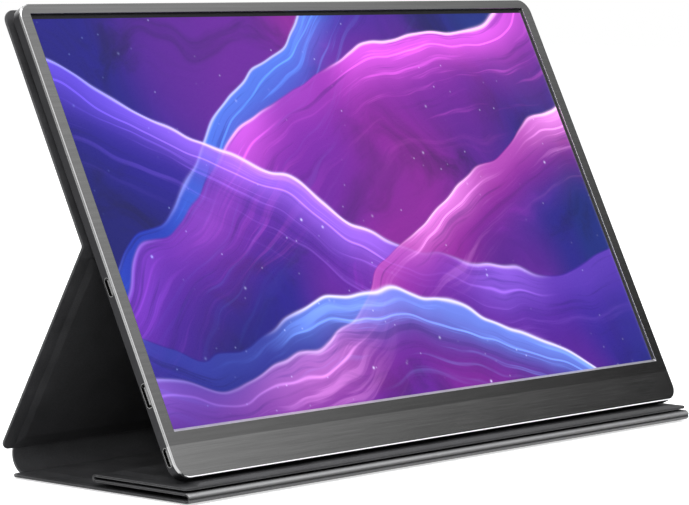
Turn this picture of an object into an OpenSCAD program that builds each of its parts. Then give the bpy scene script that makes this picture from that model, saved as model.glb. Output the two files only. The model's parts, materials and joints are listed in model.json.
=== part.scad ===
// Slim portable monitor that leans in its folding cover.
// The cover is one leather folio with stiff leaves: an upper leaf grips the back
// of the monitor, the leg props it up, and the front cover lies on the table,
// folded in three, with the monitor's lower edge standing on it.
// X runs to the viewer's right, Y away from the viewer and Z up.

/* [Screen] */
// Width of the lit picture area
screen_w = 344.2; // [300:1:380]
// Height of the lit picture area
screen_h = 193.6; // [170:1:215]
// Dark border round the picture at the sides and bottom
border = 1.2; // [0.8:0.1:2]
// Dark border above the picture
border_top = 2.0; // [1:0.1:3]

/* [Monitor case] */
// Width of the front frame beside the panel
bezel_side = 6.4; // [6:0.1:9]
// Height of the front frame above the panel
bezel_top = 4.8; // [4:0.1:9]
// Height of the chin below the panel
chin_h = 21.0; // [19:0.5:30]
// Thickness of the whole case
case_t = 7.6; // [7.2:0.1:10]
// Depth of the upright side wall before the back bevel starts
edge_t = 5.0; // [4.9:0.1:5.4]
// Radius of the case's corners
corner_r = 7.5; // [5:0.5:10]
// Width of the bevel round the back of the case
shoulder = 2.6; // [1.5:0.1:3]
// Polished chamfer round the front edge
rim_chamfer = 0.7; // [0.4:0.1:1]
// Thickness of the front frame plate
frame_t = 1.2; // [1:0.05:1.2]
// Side wall of the rear housing
side_wall = 1.2; // [0.8:0.1:1.4]
// Back wall of the rear housing
back_wall = 1.0; // [0.8:0.1:1.2]

/* [Display panel] */
// How far the panel reaches behind the frame on each side
panel_lap = 0.6; // [0.5:0.1:0.6]
// Thickness of the tape that bonds the panel to the frame
tape_t = 0.15; // [0.1:0.05:0.2]
// Thickness of the liquid crystal cell
cell_t = 1.0; // [0.7:0.1:1.1]
// Thickness of the stack of optical films
film_t = 0.3; // [0.2:0.05:0.4]
// Thickness of the light guide
guide_t = 0.5; // [0.4:0.05:0.6]
// Thickness of the reflector sheet
reflector_t = 0.15; // [0.1:0.05:0.2]
// Thickness of the sheet metal tray behind the panel
tray_t = 0.3; // [0.2:0.05:0.3]
// Width of the strip of lamps along the light guide
led_w = 0.6; // [0.4:0.1:0.8]

/* [Boards and parts inside] */
// Thickness of the circuit boards
board_t = 0.8; // [0.6:0.1:0.8]
// Length of the main board
main_board_w = 120; // [110:1:128]
// Height of the main board
main_board_h = 92; // [91:1:100]
// Side of the picture processor's case
processor_w = 18; // [12:1:20]
// Distance from the board's ends to its screws
screw_inset = 10; // [9:0.5:12]
// Width of the bonded films that feed the cell
driver_film_w = 26; // [15:1:30]
// Pitch of the bonded films
driver_film_pitch = 48; // [32:1:60]
// Length of the driver board
driver_len = 250; // [240:1:256]
// Height of the driver board
driver_h = 6; // [5.5:0.5:7]
// Distance from the top of the chin down to the driver board's lower edge
driver_drop = 10; // [9:0.5:12]
// Width of the flat ribbon between the boards
ribbon_w = 18; // [10:1:24]
// Distance from the ribbon's middle to the end of the main board
ribbon_inset = 22; // [14:1:30]
// How far the button board reaches past the button and the rocker
button_board_over = 6; // [4:0.5:9]
// Distance from the case's sides to its outer screws
case_screw_inset = 48; // [40:1:56]
// Radius of the screw posts
post_r = 2.3; // [2:0.1:3]
// Radius of the small screws' shanks
screw_r = 0.7; // [0.5:0.05:0.8]
// Radius of the small screws' heads
screw_head_r = 1.6; // [1.3:0.1:1.8]
// Length of each speaker
speaker_w = 38; // [25:1:40]
// Height of each speaker
speaker_h = 12; // [9:0.5:13]
// Thickness of each speaker
speaker_t = 3.0; // [2:0.1:3.4]
// Height of the speakers above the case's lower edge
speaker_y = 5; // [4:0.5:6]
// Pitch of the sound slots
slot_pitch = 8; // [7:0.5:9]
// Length of the sound slots
slot_l = 6; // [4:0.5:6.5]
// Width of the sound slots
slot_w = 1.4; // [1:0.1:2]
// Height of the steel plate that the cover's magnets grip
grip_plate_h = 88; // [60:1:95]
// Width of the steel plate
grip_plate_w = 300; // [200:5:320]
// Thickness of the steel plate
grip_plate_t = 0.5; // [0.3:0.1:0.6]
// Distance from the case's top edge down to the steel plate
grip_plate_drop = 6; // [5:0.5:9]

/* [Ports and controls] */
// Height of the upper USB-C port above the case's lower edge
usb_upper_y = 89.2; // [84:0.5:89.5]
// Height of the lower USB-C port
usb_lower_y = 10.7; // [10.5:0.1:16]
// Height of the video port
video_y = 38.9; // [30:0.5:60]
// Length of the USB-C opening
usb_l = 8.9; // [8.5:0.1:9.2]
// Thickness of the USB-C and video shells
port_t = 3.2; // [2.8:0.1:3.4]
// Length of the video opening
video_l = 11.2; // [10.5:0.1:11.6]
// How deep the port shells reach into the case
port_depth = 5.2; // [4:0.1:5.4]
// Wall of the port shells
shell_t = 0.3; // [0.2:0.05:0.4]
// Depth of the ports' centre line behind the front face
port_z = 3.0; // [2.95:0.01:3.05]
// Height of the headphone socket
audio_y = 10.5; // [9:0.5:16]
// Radius of the headphone socket's bore
audio_r = 1.8; // [1.76:0.01:1.82]
// Length of the headphone socket's bore
audio_l = 11; // [9:0.5:14]
// Height of the power button
power_y = 40; // [38:1:46]
// Length of the power button
power_l = 8; // [6:0.5:9]
// Height of the menu rocker
rocker_y = 62; // [60:1:70]
// Length of the menu rocker
rocker_l = 15.6; // [12:0.2:17]
// Thickness of the power button and the menu rocker
button_t = 2.3; // [2:0.1:2.3]
// How far the button and the rocker stand out of the side
button_out = 0.4; // [0.3:0.05:0.5]
// Travel of the power button
button_travel = 0.5; // [0.3:0.05:0.5]
// Free play round the button and the rocker
button_play = 0.2; // [0.15:0.05:0.3]

/* [Cover leather] */
// How far the cover stands out beside the monitor
overhang = 0.5; // [0.5:0.1:2]
// Thickness of the outer leather
skin_t = 0.7; // [0.5:0.05:0.9]
// Thickness of the inner lining
lining_t = 0.5; // [0.4:0.05:0.7]
// Thickness of the stiff boards in the leaves
stiffener_t = 1.1; // [0.9:0.05:1.6]
// Width of the flat hem at the sides and the free edges
hem = 7.3; // [5:0.1:9]
// Width of the bevel where the lining climbs onto a board
bevel = 4.2; // [3:0.1:6]
// Width of the flat leather at the folds
fold_hem = 2.0; // [1.5:0.1:3]
// Width of the flat leather on each side of the mid-back crease
crease_hem = 5.3; // [4:0.1:7]
// Width of the bevel at the front edge of the rear flap
tip_bevel = 2.0; // [1:0.1:4]
// Width of the hem at the front edge of the rear flap
tip_hem = 0.8; // [0.5:0.1:3]
// Corner radius of the leather at the upper leaf's top
cover_r = 6.0; // [3:0.5:8]
// Corner radius of the leather at the foot of the leg and the base
foot_r = 4.5; // [3:0.5:6]
// How much thinner the leg is padded, so that it folds flat on the case
leg_relief = 0.3; // [0.2:0.05:0.5]
// Gap that a leaf keeps from its fold's centre line
fold_trim = 0.3; // [0.2:0.05:0.4]
// Gap between leather and the centre line at the spine's folds
spine_trim = 0.85; // [0.8:0.05:1.1]

/* [Cover shape] */
// Tilt of the monitor from the table
tilt = 63.3; // [60:0.1:66]
// Height of the mid-back crease on the monitor's back
crease_up = 111.2; // [108:0.1:114]
// Length of the upper leaf above the crease
upper_len = 112.6; // [106:0.1:114]
// Length of the leg
leg_len = 107.7; // [107:0.1:109]
// Distance from the table to the foot of the leg
spine_rise = 11.17; // [10.6:0.01:11.9]
// How far the spine strip leans back over its height
spine_lean = 6.1; // [4:0.1:7]
// How far the spine strip bulges out
spine_bulge = 2.5; // [1.5:0.1:3]
// How far the spine strip's ends are set in from the cover's sides
spine_inset = 8; // [6:0.5:12]
// Length of each of the two front flaps
flap_len = 55; // [50:0.5:58]
// Gap between the two front flaps where they are folded together
flap_gap = 1.0; // [0.6:0.1:1.6]
// Distance from the front fold to the monitor's lower edge
foot_set = 4.2; // [3:0.1:8]
// How far the rear flap's tip reaches past the front fold
tip_over = 0.8; // [0:0.1:1.5]
// Clearance under the monitor's lower edge
foot_gap = 0.05; // [0.03:0.01:0.1]
// Radius of the magnets in the upper leaf
magnet_r = 6.0; // [4:0.5:8]
// Number of magnets in each of the two rows
magnet_count = 5; // [3:1:7]

/* [Hidden] */
$fn = 48;

// Overall sizes of the monitor
window_w = screen_w + 2 * border;
window_h = screen_h + border + border_top;
case_w = window_w + 2 * bezel_side;
case_h = chin_h + window_h + bezel_top;
cavity_z = case_t - back_wall;
back_rim = shoulder + 0.6;

// Play round ports and screws, gap between fitted pieces, and reach of the cutting shapes
slip = 0.1;
fit = 0.05;
cut = 1;

// Depths of the display panel's layers behind the front face
cell_z = frame_t + tape_t;
film_z = cell_z + cell_t;
guide_z = film_z + film_t;
reflector_z = guide_z + guide_t;
tray_z = reflector_z + reflector_t;
panel_w = window_w + 2 * panel_lap;
panel_h = window_h + 2 * panel_lap;
panel_y = chin_h - panel_lap;
rim_t = 0.3;
stack_inset = rim_t + 0.2;

// Boards
main_z = port_z + port_t / 2 + fit;
main_x = -case_w / 2 + back_rim + 0.3;
main_y = 8.2;
chip_t = 0.75;
spreader_t = 0.25;
flex_t = 0.15;
screw_spots = [
  for (x = [1.4 * screw_inset, main_board_w - 0.8 * screw_inset],
    y = [1.2 * screw_inset, main_board_h - screw_inset]) [x, y]
];
board_end = main_x + main_board_w;
post_side = post_r + 1.2;
speaker_left_x = board_end + 2 * post_side + speaker_w / 2;
speaker_right_x = max(-speaker_left_x, speaker_left_x + speaker_w + 2);
case_screw_x = [
  -case_w / 2 + case_screw_inset, board_end + post_side,
  speaker_right_x + speaker_w / 2 + post_side, case_w / 2 - case_screw_inset
];
case_screw_y = 6.2;
case_head_z = cavity_z + 0.3;
driver_y = chin_h - driver_drop;
driver_z = frame_t + fit;
audio_wall = 0.5;
audio_z = frame_t + 2 * fit + audio_r;

// Thickness and width of the cover's leaves
leaf_t = skin_t + stiffener_t + lining_t;
flange_t = skin_t + lining_t;
cover_w = case_w + 2 * overhang;
spine_w = cover_w - 2 * spine_inset;

// Side view of the stand as points of Y and Z, from the monitor's lower front edge
pad_top = 3 * leaf_t + flap_gap;
case_foot = [0, pad_top + foot_gap + edge_t * cos(tilt)];
crease = case_foot + (case_t + leaf_t) * [sin(tilt), -cos(tilt)]
  + crease_up * [cos(tilt), sin(tilt)];
leg_angle = asin((crease[1] - spine_rise) / leg_len);
leg_foot = crease + leg_len * [cos(leg_angle), -sin(leg_angle)];
base_rear = [leg_foot[0] - spine_lean, 0];
front_fold = [-foot_set, leaf_t];
rear_fold = [front_fold[0] + flap_len, 2 * leaf_t + flap_gap / 2];
base_len = base_rear[0] - front_fold[0];
tip_y = front_fold[0] - tip_over;
rear_flap_len = rear_fold[0] - tip_y;

// Arc of the spine strip through the foot of the leg and the rear of the base
spine_chord = norm(leg_foot - base_rear);
spine_r = (spine_chord * spine_chord / 4 + spine_bulge * spine_bulge) / (2 * spine_bulge);
spine_dir = (leg_foot - base_rear) / spine_chord;
spine_centre = (leg_foot + base_rear) / 2
  + (spine_r - spine_bulge) * [-spine_dir[1], spine_dir[0]];
spine_half = asin(spine_chord / 2 / spine_r);
spine_mid = atan2(-spine_dir[0], spine_dir[1]);

// The origin is below the middle of the part's whole depth
front_y = front_fold[0] - leaf_t;
rear_y = spine_centre[0] + spine_r;
mid_y = (front_y + rear_y) / 2;

// Direction at an angle in the side view
function unit(a) = [cos(a), sin(a)];

// Puts a leaf or the monitor at a point of the side view, turned up from the table
module place(p, a) translate([0, p[0] - mid_y, p[1]]) rotate([a, 0, 0]) children();

// Frame of the monitor: Y up along the screen, Z from the front face to the back
module in_case() place(case_foot, tilt) mirror([0, 0, 1]) children();

// Frames of the cover's leaves: Y along the leaf, Z from the outer leather inwards
module in_upper() place(crease, tilt) children();
module in_leg() place(leg_foot, 180 - leg_angle) children();
module in_base() place([front_fold[0], 0], 0) children();
module in_front_flap() place([rear_fold[0], 2 * leaf_t], 180) children();
module in_rear_flap() place([tip_y, 2 * leaf_t + flap_gap], 0) children();

// Outline with rounded corners, low ones of radius a and high ones of radius b
module rounded(w, h, a, b) {
  translate([-w / 2 + a, 0]) square([w - 2 * a, h / 2]);
  translate([-w / 2 + b, h / 2]) square([w - 2 * b, h / 2]);
  translate([-w / 2, a]) square([w, h - a - b]);
  for (s = [-1, 1]) {
    translate([s * (w / 2 - a), a]) circle(r = a);
    translate([s * (w / 2 - b), h - b]) circle(r = b);
  }
}

// Rounded slab from depth z0 to z1
module slab(w, h, r, z0, z1) translate([0, 0, z0]) linear_extrude(z1 - z0) rounded(w, h, r, r);

// Bar with a given outline in Y and Z, centred along X
module bar(w) rotate([90, 0, 90]) translate([0, 0, -w / 2]) linear_extrude(w) children();

// Box given by its X, Y and Z spans
module box(x, y, z) translate([x[0], y[0], z[0]]) cube([x[1] - x[0], y[1] - y[0], z[1] - z[0]]);

// Rounded slab whose sides slope in by the inset over its thickness
module sloped_slab(w, h, r, inset, t) {
  bar(w - 2 * r) polygon([[0, 0], [h, 0], [h - inset, t], [inset, t]]);
  translate([0, h - r, 0]) rotate([90, 0, 0]) linear_extrude(h - 2 * r)
    polygon([[-w / 2, 0], [w / 2, 0], [w / 2 - inset, t], [-w / 2 + inset, t]]);
  for (x = [-w / 2 + r, w / 2 - r], y = [r, h - r])
    translate([x, y, 0]) cylinder(h = t, r1 = r, r2 = r - inset);
}

// Long outline with round ends, along Y, centred
module pill(l, t) {
  square([t, l - t], center = true);
  for (s = [-1, 1]) translate([0, s * (l - t) / 2]) circle(d = t);
}

// Outline of the video port, with its two lower corners cut
module video_outline(l, t) {
  polygon([
    [-t / 2, -l / 2], [t / 6, -l / 2], [t / 2, -l / 2 + t / 3],
    [t / 2, l / 2 - t / 3], [t / 6, l / 2], [-t / 2, l / 2]
  ]);
}

// Stands an outline of depth and height on the left side, from x0 to x1
module from_side(x0, x1, y, z) {
  translate([x0, y, z]) rotate([0, 90, 0]) linear_extrude(x1 - x0)
    mirror([1, 0]) children();
}

// Front frame with its polished chamfer, window and the posts for the case screws
module front_bezel() {
  color([0.33, 0.34, 0.35]) in_case() difference() {
    union() {
      translate([0, 0, rim_chamfer]) mirror([0, 0, 1])
        sloped_slab(case_w, case_h, corner_r, rim_chamfer, rim_chamfer);
      slab(case_w, case_h, corner_r, rim_chamfer, frame_t);
      for (x = case_screw_x) translate([x, case_screw_y, frame_t / 2])
        cylinder(h = post_seam() - frame_t / 2, r = post_r);
    }
    box([-window_w / 2, window_w / 2], [chin_h, chin_h + window_h], [-cut, frame_t + cut]);
    for (x = case_screw_x) translate([x, case_screw_y, frame_t])
      cylinder(h = case_t, r = screw_r + slip);
  }
}

// Depth at which the frame's posts meet the housing's posts
function post_seam() = main_z - 0.6;

// Rear shell of the monitor
module rear_housing() {
  color([0.2, 0.2, 0.21]) in_case() difference() {
    union() {
      difference() {
        union() {
          slab(case_w, case_h, corner_r, frame_t, edge_t);
          translate([0, 0, edge_t])
            sloped_slab(case_w, case_h, corner_r, shoulder, case_t - edge_t);
        }
        translate([0, side_wall, 0])
          slab(case_w - 2 * side_wall, case_h - 2 * side_wall, corner_r - side_wall,
            frame_t - cut, edge_t);
        translate([0, back_rim, 0])
          slab(case_w - 2 * back_rim, case_h - 2 * back_rim, corner_r - back_rim,
            edge_t - cut, cavity_z);
      }
      for (p = screw_spots) translate([main_x + p[0], main_y + p[1], main_z + board_t])
        cylinder(h = case_t - back_wall / 2 - main_z - board_t, r = post_r);
      for (x = case_screw_x) translate([x, case_screw_y, post_seam() + fit])
        cylinder(h = case_t - back_wall / 2 - post_seam() - fit, r = post_r);
    }
    for (p = screw_spots) translate([main_x + p[0], main_y + p[1], main_z])
      cylinder(h = cavity_z - main_z, r = screw_r + slip);
    for (x = case_screw_x) translate([x, case_screw_y, frame_t]) {
      cylinder(h = case_t, r = screw_r + slip);
      translate([0, 0, case_head_z - frame_t]) cylinder(h = case_t, r = screw_head_r + slip);
    }
    side_holes();
    speaker_slots();
  }
}

// Openings in the housing's sides for the ports, the button and the rocker
module side_holes() {
  for (y = [usb_upper_y, usb_lower_y])
    from_side(-case_w / 2 - cut, -case_w / 2 + side_wall + cut, y, port_z)
      pill(usb_l + 2 * slip, port_t + 2 * slip);
  from_side(-case_w / 2 - cut, -case_w / 2 + side_wall + cut, video_y, port_z)
    video_outline(video_l + 2 * slip, port_t + 2 * slip);
  translate([case_w / 2 - side_wall - cut, audio_y, audio_z]) rotate([0, 90, 0])
    cylinder(h = side_wall + 2 * cut, r = audio_r + fit);
  from_side(case_w / 2 - side_wall - cut, case_w / 2 + cut, power_y, port_z)
    pill(power_l + 2 * button_play, button_t + 2 * button_play);
  from_side(case_w / 2 - side_wall - cut, case_w / 2 + cut, rocker_y, port_z)
    square([button_t + 2 * button_play, rocker_l + 2 * button_play], center = true);
}

// Sound slots through the back behind the speakers
module speaker_slots() {
  for (x = [speaker_left_x, speaker_right_x], i = [-1.5:1:1.5])
    translate([x + slot_pitch * i, speaker_y + speaker_h / 2, cavity_z - cut])
      linear_extrude(back_wall + 2 * cut) rotate(90) pill(slot_l, slot_w);
}

// Sheet of the display panel, drawn in from the panel's outline
module panel_sheet(inset, z0, t) {
  box([-panel_w / 2 + inset, panel_w / 2 - inset], [panel_y + inset, panel_y + panel_h - inset],
    [z0, z0 + t]);
}

// Ring of tape between the frame and the panel
module panel_tape() {
  color([0.08, 0.08, 0.08]) in_case() difference() {
    panel_sheet(0, frame_t, tape_t);
    box([-window_w / 2 - 0.1, window_w / 2 + 0.1], [chin_h - 0.1, chin_h + window_h + 0.1],
      [0, cell_z + cut]);
  }
}

// Liquid crystal cell with its polarisers, whose face is the screen
module lcd_cell() {
  color([0.16, 0.1, 0.45]) in_case() panel_sheet(0, cell_z, cell_t);
}

// Diffuser and prism films
module optical_films() {
  color([0.9, 0.9, 0.92]) in_case() panel_sheet(stack_inset, film_z, film_t);
}

// Clear plate that spreads the lamps' light, with room for the lamps below it
module light_guide() {
  color([0.8, 0.9, 0.9]) in_case() box(
    [-panel_w / 2 + stack_inset, panel_w / 2 - stack_inset],
    [panel_y + stack_inset + led_w + slip, panel_y + panel_h - stack_inset],
    [guide_z, guide_z + guide_t]);
}

// Strip of lamps along the light guide's lower edge
module led_strip() {
  color([0.95, 0.93, 0.7]) in_case() box(
    [-panel_w / 2 + stack_inset, panel_w / 2 - stack_inset],
    [panel_y + stack_inset, panel_y + stack_inset + led_w], [guide_z, guide_z + guide_t]);
}

// White sheet behind the light guide
module reflector_sheet() {
  color([0.96, 0.96, 0.96]) in_case() panel_sheet(stack_inset, reflector_z, reflector_t);
}

// Sheet metal tray with a low rim that holds the panel's layers
module panel_tray() {
  color([0.7, 0.72, 0.74]) in_case() difference() {
    panel_sheet(0, film_z, tray_z + tray_t - film_z);
    panel_sheet(rim_t, film_z - cut, tray_z - film_z + cut);
  }
}

// Bonded films that lead from the cell to its driver board
module driver_films() {
  color([0.65, 0.42, 0.12]) in_case() for (i = [-1.5:1:1.5])
    translate([driver_film_pitch * i, 0, driver_z + board_t])
      box([-driver_film_w / 2, driver_film_w / 2], [driver_y + driver_h - 1, panel_y], [0, flex_t]);
}

// Narrow driver board in the chin, bonded to the back of the frame
module driver_board() {
  color([0.05, 0.3, 0.15]) in_case() box([-driver_len / 2, driver_len / 2],
    [driver_y, driver_y + driver_h], [driver_z, driver_z + board_t]);
}

// Flat ribbon that joins the driver board to the main board
module panel_ribbon() {
  end_y = driver_y + 4;
  fold_y = driver_y + 1.6;
  z0 = driver_z + board_t;
  color([0.85, 0.85, 0.8]) in_case() translate([board_end - ribbon_inset, 0, 0])
    bar(ribbon_w) polygon([
      [end_y, z0], [end_y, z0 + flex_t], [fold_y, z0 + flex_t],
      [fold_y, main_z], [fold_y - flex_t, main_z], [fold_y - flex_t, z0]
    ]);
}

// Main board behind the panel, with its edge under the left-hand ports
module main_board() {
  color([0.05, 0.32, 0.17]) in_case() difference() {
    box([main_x, main_x + main_board_w], [main_y, main_y + main_board_h],
      [main_z, main_z + board_t]);
    for (p = screw_spots) translate([main_x + p[0], main_y + p[1], main_z - cut])
      cylinder(h = board_t + 2 * cut, r = screw_r + slip);
    for (x = case_screw_x) translate([x, case_screw_y, main_z - cut])
      cylinder(h = board_t + 2 * cut, r = post_r + 0.4);
  }
}

// Picture processor, power chips and coils on the main board, with their places as
// shares of the board and their sizes as shares of the processor's
module main_chips() {
  color([0.07, 0.07, 0.08]) in_case() for (c = [
    [0.4, 0.5, 1, 1], [0.63, 0.54, 0.67, 0.5], [0.25, 0.565, 0.44, 0.44],
    [0.25, 0.37, 0.33, 0.33], [0.65, 0.33, 0.55, 0.39], [0.78, 0.72, 0.78, 0.55],
    [0.43, 0.8, 0.5, 0.33], [0.8, 0.48, 0.33, 0.28]
  ]) translate([main_x + c[0] * main_board_w, main_y + c[1] * main_board_h, main_z + board_t])
    cube([c[2] * processor_w, c[3] * processor_w, chip_t]);
}

// Thin aluminium sheet over the largest chips
module heat_spreader() {
  color([0.75, 0.76, 0.78]) in_case() box(
    [main_x + 0.35 * main_board_w, main_x + 0.77 * main_board_w],
    [main_y + 0.44 * main_board_h, main_y + 0.87 * main_board_h],
    [main_z + board_t + chip_t, main_z + board_t + chip_t + spreader_t]);
}

// USB-C receptacle: a round-ended steel shell with its contact tongue
module usb_port(y) {
  x0 = -case_w / 2 + 0.15;
  x1 = -case_w / 2 + port_depth;
  color([0.72, 0.72, 0.72]) in_case() {
    difference() {
      from_side(x0, x1, y, port_z) pill(usb_l, port_t);
      from_side(x0 - cut, x1 - 0.5, y, port_z)
        pill(usb_l - 2 * shell_t, port_t - 2 * shell_t);
    }
    from_side(x0 + 0.8, x1 - 0.3, y, port_z) square([0.7, usb_l - 2.2], center = true);
  }
}

module usb_port_upper() usb_port(usb_upper_y);

module usb_port_lower() usb_port(usb_lower_y);

// Small video receptacle with cut lower corners
module video_port() {
  x0 = -case_w / 2 + 0.15;
  x1 = -case_w / 2 + port_depth;
  color([0.72, 0.72, 0.72]) in_case() {
    difference() {
      from_side(x0, x1, video_y, port_z) video_outline(video_l, port_t);
      from_side(x0 - cut, x1 - 0.5, video_y, port_z)
        video_outline(video_l - 2 * shell_t, port_t - 2 * shell_t);
    }
    from_side(x0 + 0.8, x1 - 0.3, video_y, port_z)
      square([0.8, video_l - 3.2], center = true);
  }
}

// Headphone socket behind the right-hand wall
module audio_socket() {
  x1 = case_w / 2 - back_rim - fit;
  half = audio_r + audio_wall;
  color([0.06, 0.06, 0.06]) in_case() difference() {
    box([x1 - audio_l - 2 * audio_wall, x1], [audio_y - half, audio_y + half],
      [frame_t + fit, audio_z + half + 0.1]);
    translate([x1 - audio_l, audio_y, audio_z]) rotate([0, 90, 0])
      cylinder(h = audio_l + cut, r = audio_r);
  }
}

// Side positions behind the right-hand wall
wall_x = case_w / 2 - side_wall;
button_board_x = panel_w / 2 + 0.3;
switch_x = button_board_x + board_t;
switch_t = 1.2;
switch_top_x = switch_x + switch_t;
switch_l = 3.4;
switch_d = 2.8;
plunger_d = 1.6;
pivot_x = wall_x - 0.95;
pivot_r = 0.55;
rocker_swing = 3;

// Upright board behind the power button and the menu rocker
module button_board() {
  color([0.05, 0.3, 0.15]) in_case() box([button_board_x, switch_x],
    [power_y - power_l / 2 - button_board_over, rocker_y + rocker_l / 2 + button_board_over],
    [frame_t + 0.1, edge_t - 0.1]);
}

// Push switches under the power button and under both ends of the rocker
module button_switches() {
  color([0.12, 0.12, 0.12]) in_case()
    for (y = [power_y, rocker_y - rocker_l / 3, rocker_y + rocker_l / 3]) {
      box([switch_x, switch_top_x - 0.4], [y - switch_l / 2, y + switch_l / 2],
        [port_z - switch_d / 2, port_z + switch_d / 2]);
      from_side(switch_top_x - 0.5, switch_top_x, y, port_z) circle(d = plunger_d);
    }
}

// Two-eared bracket that carries the rocker's pivot pin
module rocker_bracket() {
  ear = 0.5;
  color([0.1, 0.1, 0.1]) in_case() difference() {
    union() {
      for (z = [port_z - button_t / 2 - 0.1 - ear, port_z + button_t / 2 + 0.1])
        box([switch_x, pivot_x + pivot_r + 0.3], [rocker_y - 1.3, rocker_y + 1.3], [z, z + ear]);
      box([switch_x, switch_x + 0.4], [rocker_y - 1.3, rocker_y + 1.3],
        [port_z - button_t / 2 - 0.3, port_z + button_t / 2 + 0.3]);
    }
    translate([pivot_x, rocker_y, 0]) cylinder(h = case_t, r = pivot_r + fit);
  }
}

// Menu rocker with its pivot pin
module menu_rocker() {
  color([0.25, 0.25, 0.26]) in_case() {
    from_side(wall_x - 0.35, case_w / 2 + button_out, rocker_y, port_z)
      square([button_t, rocker_l], center = true);
    from_side(pivot_x - 0.75, wall_x - 0.3, rocker_y, port_z)
      square([button_t, 2.2], center = true);
    translate([pivot_x, rocker_y, port_z - button_t / 2 - 0.55])
      cylinder(h = button_t + 1.1, r = pivot_r);
    for (s = [-1, 1])
      from_side(switch_top_x + rocker_l / 3 * sin(rocker_swing) + 0.15, wall_x - 0.3,
        rocker_y + s * rocker_l / 3, port_z) circle(d = 1.4);
  }
}

// Power button with the flange that keeps it in the case
module power_button() {
  color([0.25, 0.25, 0.26]) in_case() {
    from_side(wall_x - 0.5, case_w / 2 + button_out, power_y, port_z) pill(power_l, button_t);
    from_side(wall_x - 0.6, wall_x - 0.1, power_y, port_z)
      square([button_t + 1, power_l + 1.4], center = true);
    from_side(switch_top_x + button_travel + 0.1, wall_x - 0.5, power_y, port_z)
      circle(d = plunger_d);
  }
}

// Flat speaker with its round cone
module speaker(x) {
  cone_t = 0.3;
  cone_z = cavity_z - cone_t - 0.2;
  color([0.12, 0.12, 0.13]) in_case() translate([x, speaker_y, 0]) {
    translate([-speaker_w / 2, 0, cone_z - speaker_t]) cube([speaker_w, speaker_h, speaker_t]);
    translate([0, speaker_h / 2, cone_z - fit]) cylinder(h = cone_t + fit, d = speaker_h - 3);
  }
}

module speaker_left() speaker(speaker_left_x);

module speaker_right() speaker(speaker_right_x);

// Steel plate on the back wall that the cover's magnets grip
module grip_plate() {
  y1 = case_h - grip_plate_drop;
  color([0.6, 0.61, 0.62]) in_case() box([-grip_plate_w / 2, grip_plate_w / 2],
    [y1 - grip_plate_h, y1], [cavity_z - grip_plate_t, cavity_z]);
}

// Screws that hold the main board to its posts
module board_screws() {
  color([0.6, 0.6, 0.6]) in_case() for (p = screw_spots)
    translate([main_x + p[0], main_y + p[1], 0]) {
      translate([0, 0, main_z - 0.5]) cylinder(h = 0.5, r = screw_head_r);
      translate([0, 0, main_z - 0.5]) cylinder(h = cavity_z - main_z + 0.3, r = screw_r);
    }
}

// Screws that join the rear housing to the front frame
module case_screws() {
  color([0.15, 0.15, 0.15]) in_case() for (x = case_screw_x)
    translate([x, case_screw_y, 0]) {
      translate([0, 0, case_head_z]) cylinder(h = 0.55, r = screw_head_r);
      translate([0, 0, frame_t + 0.5]) cylinder(h = cavity_z - frame_t - 0.1, r = screw_r);
    }
}

// Leather of a leaf from z0 to z1, with corner radius a at its start and b at its end
module leaf_sheet(y0, y1, a, b, z0, z1) {
  translate([0, y0, z0]) linear_extrude(z1 - z0) rounded(cover_w, y1 - y0, a, b);
}

// Stiff board between the bevels, pads being the distances of its edges from the leaf's
module leaf_board(y0, y1, pad0, pad1, t) {
  w = cover_w - 2 * hem - 2 * bevel;
  box([-w / 2, w / 2], [y0 + pad0, y1 - pad1], [skin_t, skin_t + t]);
}

// Lining: a flat hem all round and a raised field with bevelled sides over the board
module leaf_lining(y0, y1, a, b, hems, bevels, t) {
  top = skin_t + t + lining_t;
  w = cover_w - 2 * hem;
  difference() {
    union() {
      leaf_sheet(y0, y1, a, b, skin_t, flange_t);
      intersection() {
        bar(w) polygon([
          [y0 + hems[0], skin_t], [y1 - hems[1], skin_t], [y1 - hems[1], flange_t],
          [y1 - hems[1] - bevels[1], top], [y0 + hems[0] + bevels[0], top],
          [y0 + hems[0], flange_t]
        ]);
        translate([0, y1, 0]) rotate([90, 0, 0]) linear_extrude(y1 - y0) polygon([
          [-w / 2, skin_t], [w / 2, skin_t], [w / 2, flange_t],
          [w / 2 - bevel, top], [-w / 2 + bevel, top], [-w / 2, flange_t]
        ]);
      }
    }
    leaf_board(y0, y1, hems[0] + bevels[0], hems[1] + bevels[1], t);
  }
}

leather = [0.13, 0.13, 0.14];
inner = [0.17, 0.17, 0.18];
board_grey = [0.55, 0.53, 0.5];
small_r = 0.6;

// Upper leaf, which holds the monitor
upper_y = [crease_hem, upper_len];
upper_hems = [0, hem];
upper_bevels = [bevel, bevel];

module upper_skin() color(leather) in_upper()
  leaf_sheet(upper_y[0], upper_y[1], small_r, cover_r, 0, skin_t);

module upper_stiffener() color(board_grey) in_upper() difference() {
  leaf_board(upper_y[0], upper_y[1], bevel, hem + bevel, stiffener_t);
  magnet_spots() cylinder(h = leaf_t + cut, r = magnet_r + slip);
}

module upper_lining() color(inner) in_upper()
  leaf_lining(upper_y[0], upper_y[1], small_r, cover_r, upper_hems, upper_bevels, stiffener_t);

// Places of the magnets in two rows behind the monitor's steel plate
module magnet_spots() {
  for (i = [0:magnet_count - 1], y = [upper_len * 0.35, upper_len * 0.78])
    translate([(i - (magnet_count - 1) / 2) * grip_plate_w / magnet_count, y, skin_t])
      children();
}

module cover_magnets() color([0.5, 0.5, 0.52]) in_upper()
  magnet_spots() cylinder(h = stiffener_t, r = magnet_r);

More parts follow.
